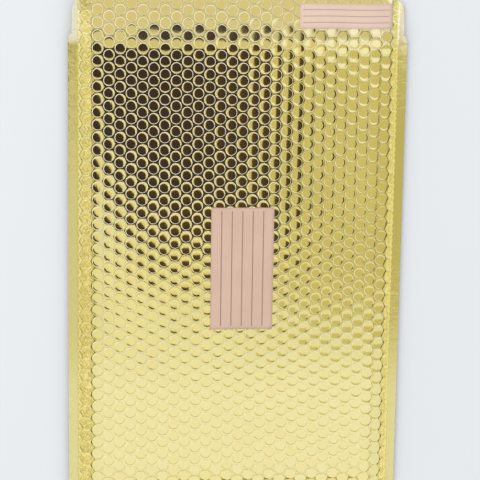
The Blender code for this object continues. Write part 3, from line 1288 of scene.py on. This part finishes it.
@dataclass(frozen=True)
class RuledPaper:
    """Matt label paper with thin ruled lines."""

    name: str
    paper: Colour
    ink: Colour
    centre: Place
    size: Place
    lines: int
    lines_along_y: bool
    line_width: float
    margin: float
    spacing: float
    wave: float = 0.0
    wave_rate: float = 95.0
    line_edge: Span = (0.5, 0.8)
    blur: float = 0.1 * MILLIMETRE
    mottle: float = 0.955

    def ruled(self, x: Signal, y: Signal) -> Signal:
        """Where the lines are: the place brought into one spacing, and close to its middle.

        Args:
            x: place across the object.
            y: place along it.
        Returns:
            A share from 0 on plain paper to 1 on a line.
        """
        x, y = x - self.centre[0], y - self.centre[1]
        across, along = (x, y) if self.lines_along_y else (y, x)
        if self.wave:
            across = across + (along * self.wave_rate).sine() * self.wave
        half_span = self.spacing * self.lines / 2
        phase = (across + half_span).wrapped(self.spacing, 0.0) - self.spacing / 2
        line = phase.absolute().falls(tuple(self.line_width * edge for edge in self.line_edge))
        within = across.absolute().falls((half_span - self.blur, half_span))
        end = (self.size[1] if self.lines_along_y else self.size[0]) / 2 - self.margin
        return line * within * along.absolute().falls((end - 2 * self.blur, end))

    def build(self) -> bpy.types.Material:
        """The material: cloudy paper, and ink on its lines.

        Returns:
            The finished material.
        """
        graph = Graph(self.name)
        x, y, _ = graph.place()
        fibre = graph.noise(900.0, 3.0)
        cloud = graph.noise(45.0, 2.0)
        paper = graph.blend(cloud.rises((0.3, 0.7)), self.paper, shaded(self.paper, self.mottle))
        ink = self.ruled(x, y) * (fibre * 0.3 + 0.8).at_most(1.0)
        colour = graph.blend(ink, paper, self.ink)
        normal = graph.bump(fibre, 0.12, 0.1 * MILLIMETRE)
        return graph.set(Base_Color=colour, Roughness=cloud * 0.1 + 0.48, Normal=normal)


@dataclass(frozen=True)
class StripFinish:
    """Finish of the glue or the liner under the flap."""

    name: str
    colour: Colour
    roughness: float
    bump: float

    def build(self) -> bpy.types.Material:
        """The material: one colour, rippled across the flap.

        Returns:
            The finished material.
        """
        graph = Graph(self.name)
        ripple = graph.noise(160.0, 3.0, graph.stretched((0.5, 1.5, 1.0)))
        tone = graph.blend(ripple, self.colour, shaded(self.colour, 0.93))
        normal = graph.bump(ripple, self.bump, 0.2 * MILLIMETRE)
        rough = ripple * 0.1 + self.roughness
        return graph.set(Base_Color=tone, Roughness=rough, Normal=normal)


@dataclass(frozen=True)
class Camera:
    """Camera fitted to the bubble rows of the photograph."""

    location: tuple[float, float, float] = (-0.1697, 0.3051, 1.5971)
    pitch_degrees: float = -10.407
    roll_degrees: float = -6.153
    turn_degrees: float = -0.25
    focal_pixels: float = 1700.0
    image_pixels: float = 480.0
    sensor: float = 36.0
    nearest: float = 0.05
    farthest: float = 20.0

    def build(self) -> bpy.types.Object:
        """Adds the camera and makes it the scene's own.

        Returns:
            The camera object.
        """
        data = bpy.data.cameras.new("camera")
        data.sensor_width = self.sensor
        data.lens = self.focal_pixels * self.sensor / self.image_pixels
        data.clip_start = self.nearest
        data.clip_end = self.farthest
        camera = bpy.data.objects.new("camera", data)
        turn = Euler((0.0, 0.0, math.radians(self.turn_degrees))).to_matrix()
        tilt = Euler((math.radians(self.pitch_degrees), 0.0, 0.0)).to_matrix()
        roll = Euler((0.0, math.radians(self.roll_degrees), 0.0)).to_matrix()
        camera.matrix_world = (turn @ tilt @ roll).to_4x4()
        camera.location = self.location
        bpy.context.scene.collection.objects.link(camera)
        bpy.context.scene.camera = camera
        return camera


@dataclass(frozen=True)
class Reflector:
    """Overhead sheet that only gloss sees: a pale studio ceiling with a dark flag in it.

    A place on the film shows the ceiling where the line from the camera bounces to, so zones
    are given as places on the film and the sheet is stretched from the camera to match.
    """

    camera: Camera
    film_height: float = 0.016
    height: float = 1.2
    half_size: float = 3.0
    strength: float = 1.5
    bright: Colour = (1.00, 1.03, 1.36)
    middle: Colour = (0.74, 0.72, 0.61)
    above: Colour = (0.82, 0.78, 0.72)
    crest: Colour = (1.15, 1.20, 1.85)
    far: Colour = (0.72, 0.69, 0.58)
    outer: Colour = (1.16, 1.16, 1.22)
    near: Colour = (0.86, 0.80, 0.58)
    dark: Colour = (0.056, 0.043, 0.085)
    dusky: Colour = (0.098, 0.063, 0.066)
    dark_right: Span = (0.038, 0.044)
    dark_top: Span = (0.240, 0.248)
    dark_blur: Span = (-0.003, 0.003)
    middle_low: Span = (-0.074, -0.066)
    strip_edge: Span = (0.200, 0.206)
    crest_left: Span = (0.050, 0.090)
    above_edge: Span = (0.238, 0.248)
    above_slant: Span = (0.030, 0.070)
    dusk_across: Span = (-0.07, 0.03)
    dusk_along: Span = (0.02, 0.09)
    far_edge: Span = (0.0, 0.05)
    outer_edge: Span = (0.10, 0.18)
    film_reach: Place = (0.26, 0.45)

    def build(self) -> bpy.types.Object:
        """Adds the sheet.

        Returns:
            The sheet object.
        """
        half = self.half_size
        mesh = bpy.data.meshes.new("reflector")
        corners = [(-half, -half, self.height), (-half, half, self.height),
                   (half, half, self.height), (half, -half, self.height)]
        mesh.from_pydata(corners, [], [(0, 1, 2, 3)])
        mesh.materials.append(self.paint())
        sheet = link(mesh)
        sheet.visible_camera = False
        sheet.visible_diffuse = False
        sheet.visible_shadow = False
        sheet.visible_transmission = False
        return sheet

    def paint(self) -> bpy.types.Material:
        """Material of the sheet: a glow that is dark and grey over parts of the film.

        Returns:
            The finished material.
        """
        graph = Graph("reflector")
        x, y, _ = graph.place()
        reach = (self.height - self.film_height) / (self.camera.location[2] - self.film_height)
        film_x = (x + reach * self.camera.location[0]) / (1.0 + reach)
        film_y = (y + reach * self.camera.location[1]) / (1.0 + reach)
        lower = (film_x * -1.2 - 0.0864).at_least(0.0) - 0.003
        left = film_y * -0.5 - 0.100
        off = (film_x.absolute() - self.film_reach[0]).at_least(film_y.absolute() - self.film_reach[1])
        on_crest = film_y.rises(self.strip_edge) * film_x.rises(self.crest_left)
        on_top = (film_y - film_x.rises(self.above_slant) * 0.070).rises(self.above_edge)
        in_middle = (film_x.rises(self.dark_right) * film_y.rises(self.middle_low)
                     * film_y.falls(self.strip_edge))
        in_dark = (film_x.falls(self.dark_right) * (film_x - left).rises(self.dark_blur)
                   * (film_y - lower).rises(self.dark_blur) * film_y.falls(self.dark_top))
        beside = (lower - film_y).at_least(left - film_x).step(0.0, 0.06, 0.9, 0.0)
        in_dusk = (film_x.rises(self.dusk_across) * 0.8).at_least(film_y.falls(self.dusk_along))
        dark = graph.blend(in_dusk, self.scaled(self.dark), self.scaled(self.dusky))
        colour = graph.blend(beside, self.scaled(self.bright), self.scaled(self.near))
        colour = graph.blend(in_middle, colour, self.scaled(self.middle))
        colour = graph.blend(on_crest, colour, self.scaled(self.crest))
        colour = graph.blend(on_top, colour, self.scaled(self.above))
        colour = graph.blend(off.rises(self.far_edge), colour, self.scaled(self.far))
        colour = graph.blend(off.rises(self.outer_edge), colour, self.scaled(self.outer))
        colour = graph.blend(in_dark, colour, dark)
        return graph.set(Base_Color=(0.0, 0.0, 0.0), Emission_Color=colour,
                         Emission_Strength=self.strength, Roughness=1.0, Specular_IOR_Level=0.0)

    def scaled(self, glow: Colour) -> Colour:
        """A glow as a colour under the sheet's constant strength."""
        return tuple(part / self.strength for part in glow)


@dataclass(frozen=True)
class Studio:
    """Pale floor, plain background and soft light."""

    background: Colour = (0.83, 0.86, 0.89)
    floor: Colour = (0.735, 0.762, 0.786)
    floor_half: float = 4.0
    light: float = 0.95
    lamp_place: tuple[float, float, float] = (-0.9, 0.7, 1.8)
    lamp_power: float = 9.0
    lamp_size: float = 1.2

    def build(self) -> None:
        """Adds the world, the floor and the lamp."""
        self.build_world()
        self.build_floor()
        self.build_lamp()

    def build_floor(self) -> None:
        """Adds the floor, a level square at the height that the envelope rests on."""
        graph = Graph("floor")
        shade = graph.blend(graph.noise(3.0, 2.0), self.floor, shaded(self.floor, 0.985))
        half = self.floor_half
        mesh = bpy.data.meshes.new("floor")
        mesh.from_pydata([(-half, -half, 0.0), (half, -half, 0.0), (half, half, 0.0),
                          (-half, half, 0.0)], [], [(0, 1, 2, 3)])
        mesh.materials.append(graph.set(Base_Color=shade, Roughness=0.9))
        link(mesh)

    def build_world(self) -> None:
        """White light all round, which the camera, gloss and glass see as a pale background."""
        world = bpy.data.worlds.new("studio")
        world.use_nodes = True
        tree = world.node_tree
        tree.nodes.clear()
        path = tree.nodes.new("ShaderNodeLightPath")
        light = tree.nodes.new("ShaderNodeBackground")
        light.inputs["Color"].default_value = (1.0, 1.0, 1.0, 1.0)
        light.inputs["Strength"].default_value = self.light
        backdrop = tree.nodes.new("ShaderNodeBackground")
        backdrop.inputs["Color"].default_value = (*self.background, 1.0)
        mix = tree.nodes.new("ShaderNodeMixShader")
        output = tree.nodes.new("ShaderNodeOutputWorld")
        seen = path.outputs["Is Camera Ray"]
        for ray in ("Is Glossy Ray", "Is Transmission Ray"):
            either = tree.nodes.new("ShaderNodeMath")
            either.operation = "MAXIMUM"
            tree.links.new(seen, either.inputs[0])
            tree.links.new(path.outputs[ray], either.inputs[1])
            seen = either.outputs[0]
        tree.links.new(seen, mix.inputs["Fac"])
        tree.links.new(light.outputs["Background"], mix.inputs[1])
        tree.links.new(backdrop.outputs["Background"], mix.inputs[2])
        tree.links.new(mix.outputs["Shader"], output.inputs["Surface"])
        bpy.context.scene.world = world

    def build_lamp(self) -> None:
        """Adds a soft square light that points at the object and doesn't show in gloss."""
        data = bpy.data.lights.new("soft_key", "AREA")
        data.energy = self.lamp_power
        data.size = self.lamp_size
        lamp = bpy.data.objects.new("soft_key", data)
        lamp.location = self.lamp_place
        lamp.rotation_euler = (-Vector(self.lamp_place)).to_track_quat("-Z", "Y").to_euler()
        lamp.visible_glossy = False
        bpy.context.scene.collection.objects.link(lamp)


@dataclass(frozen=True)
class FilmPanels:
    """The web of bubble film: the front sheet with its flap, and the back sheet."""

    form: PocketForm
    lattice: BubbleLattice
    profile: BubbleProfile = BubbleProfile()
    front_seed: int = 11
    back_seed: int = 23

    def build(self) -> None:
        """Builds both sheets and dresses them."""
        gold = GoldFilm(self.form, self.lattice).build()
        lining = Lining(self.form, self.lattice).build()
        for side, node, seed in ((Side.FRONT, "front_panel", self.front_seed),
                                 (Side.BACK, "back_panel", self.back_seed)):
            film = Film(self.form, self.lattice, self.profile, side, seed)
            piece = ShellMesh(node + "_film", film).build(gold, lining)
            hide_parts(node)
            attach(piece, "root")
            LOG.info("%s: %d faces", piece.name, len(piece.data.polygons))


@dataclass(frozen=True)
class Labels:
    """The address label on the front and the sender label on the flap."""

    form: PocketForm
    top: float = 0.7 * MILLIMETRE
    bottom: float = 0.1 * MILLIMETRE
    margin: float = 0.003

    def build(self) -> None:
        """Builds both labels and dresses them."""
        low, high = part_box("address_label")
        self.build_label("address_label", RuledPaper(
            "address_paper", (0.616, 0.425, 0.311), (0.31, 0.165, 0.12),
            **self.measures(low, high), lines=5, lines_along_y=True, line_width=0.0008,
            margin=self.margin, spacing=(high[0] - low[0]) / 6))
        low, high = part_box("sender_label")
        self.build_label("sender_label", RuledPaper(
            "sender_paper", (0.718, 0.53, 0.42), (0.47, 0.29, 0.24),
            **self.measures(low, high), lines=3, lines_along_y=False, line_width=0.0007,
            margin=self.margin, spacing=(high[1] - low[1]) / 4, wave=0.0002))

    @staticmethod
    def measures(low: Place, high: Place) -> dict[str, Place]:
        """Middle and size of a box, seen from above."""
        return {"centre": ((low[0] + high[0]) / 2, (low[1] + high[1]) / 2),
                "size": (high[0] - low[0], high[1] - low[1])}

    def build_label(self, node: str, paper: RuledPaper) -> None:
        """One label that stands for a node, over the tops of the front bubbles.

        Args:
            node: name of the node.
            paper: its finish.
        """
        low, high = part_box(node)
        surface = self.form.front_top
        piece = Strip(node + "_sheet", low[:2], high[:2]).build(
            Raised(surface, self.top), Raised(surface, self.bottom), paper.build())
        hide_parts(node)
        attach(piece, "root")


@dataclass(frozen=True)
class Closure:
    """The glue strip under the flap, and the liner over it."""

    form: PocketForm
    lattice: BubbleLattice
    glue_span: Span = (-0.02 * MILLIMETRE, -0.6 * MILLIMETRE)
    liner_span: Span = (-0.7 * MILLIMETRE, -1.2 * MILLIMETRE)

    def build(self) -> None:
        """Builds both strips and dresses them."""
        glue = StripFinish("clear_glue", (0.72, 0.68, 0.50), 0.12, 0.3)
        liner = StripFinish("white_liner", (0.84, 0.84, 0.82), 0.42, 0.25)
        self.build_strip("adhesive_strip", self.glue_span, glue)
        self.build_strip("release_liner", self.liner_span, liner)

    def build_strip(self, node: str, span: Span, finish: StripFinish) -> None:
        """One strip that stands for a node, under the flap.

        Args:
            node: name of the node.
            span: heights of its two faces over the flap's inner face.
            finish: its finish.
        """
        film = Film(self.form, self.lattice, BubbleProfile(), Side.FRONT, 0)
        low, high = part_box(node)
        piece = Strip(node + "_sheet", low[:2], high[:2]).build(
            Raised(film.inner, span[0]), Raised(film.inner, span[1]), finish.build())
        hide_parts(node)
        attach(piece, "root")


def form_from_frame() -> tuple[PocketForm, BubbleLattice]:
    """The envelope's form, sized from the nodes of the frame.

    Returns:
        The form and the bubble lattice.
    """
    front_low, front_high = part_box("front_panel")
    _, back_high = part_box("back_panel")
    width = front_high[0] - front_low[0]
    length = front_high[1] - front_low[1]
    flap = front_high[1] - back_high[1]
    form = PocketForm(width, length, flap)
    first_row = form.mouth_y - FIRST_ROW_FROM_MOUTH
    return form, BubbleLattice(form.pitch, form.column, LATTICE_SHIFT_X, first_row)


def main() -> None:
    """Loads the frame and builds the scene."""
    logging.basicConfig(level=logging.INFO, format="%(message)s")
    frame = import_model()
    LOG.info("nodes: %d", len(frame["nodes"]))
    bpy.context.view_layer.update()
    bpy.context.scene.view_settings.view_transform = "Standard"
    form, lattice = form_from_frame()
    camera = Camera()
    camera.build()
    Studio().build()
    Reflector(camera).build()
    FilmPanels(form, lattice).build()
    Labels(form).build()
    Closure(form, lattice).build()


if __name__ == "__main__":
    main()
